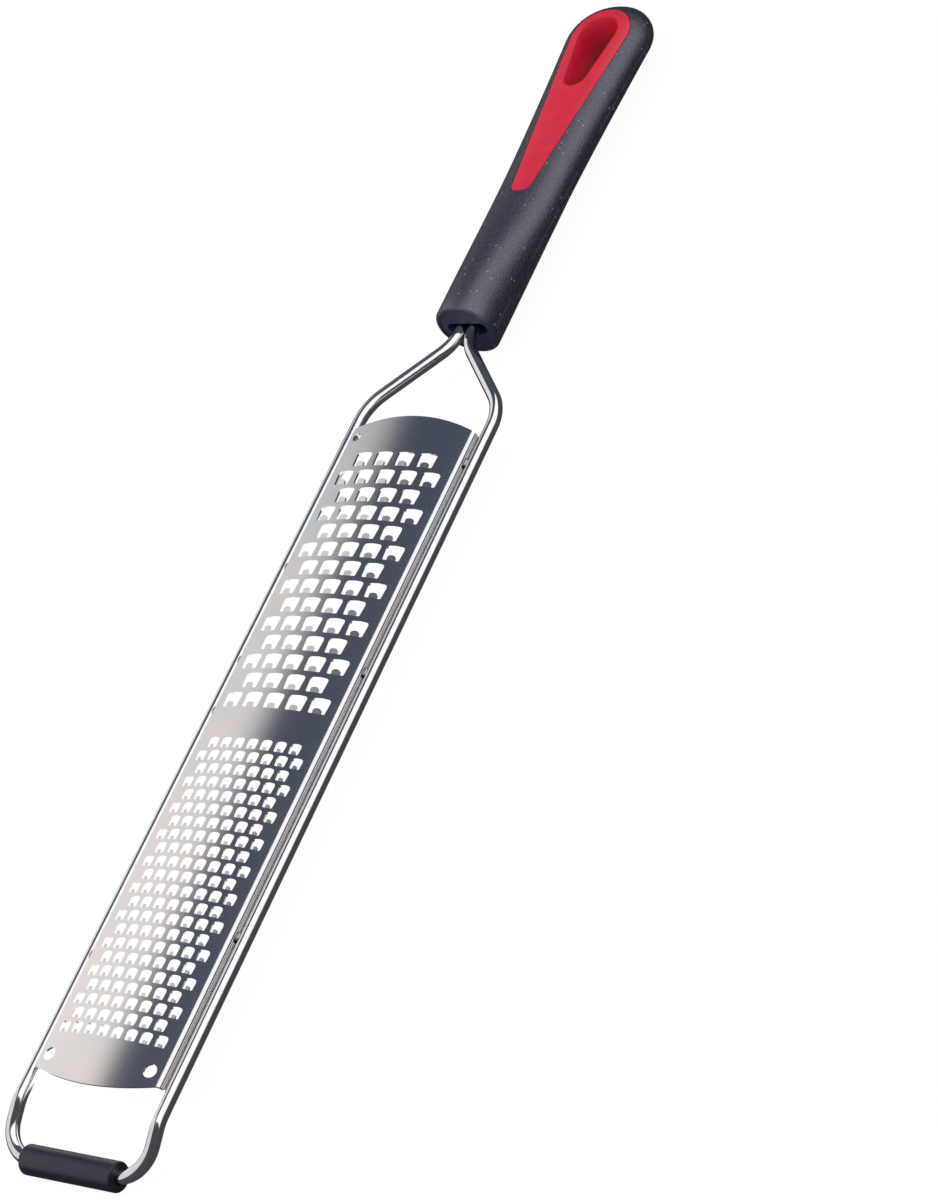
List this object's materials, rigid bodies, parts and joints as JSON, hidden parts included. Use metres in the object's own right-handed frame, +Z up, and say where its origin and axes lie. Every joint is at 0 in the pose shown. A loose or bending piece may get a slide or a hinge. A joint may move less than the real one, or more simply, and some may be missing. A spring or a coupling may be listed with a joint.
{
  "type": "rasp grater",
  "caption": "Long hand-held rasp grater: arched toothed steel sheet in a bent rod frame, with a soft black handle, red hanging insert and rubber foot sleeve.",
  "frame": {"origin": "middle of the bounding box's bottom face, on the surface that the grater lies on", "axes": "+Y runs along the grater from the foot to the handle's tip, +Z is up through the toothed face, +X is across"},
  "size_m": [0.0512, 0.4006, 0.02],
  "materials": {
    "polished_rod": "polished stainless steel rod",
    "toothed_sheet": "fine lengthwise grain, close to a mirror",
    "soft_grip": "matt soft-touch, charcoal black",
    "hard_core": "matt moulded plastic, black",
    "red_insert": "satin moulded plastic, red",
    "foot_rubber": "matt black rubber"
  },
  "bodies": {
    "root": {"frame_wire": "polished_rod", "blade": "toothed_sheet", "handle_grip": "soft_grip", "handle_core": "hard_core", "hang_insert": "red_insert", "foot_sleeve": "foot_rubber"}
  },
  "joints": []
}
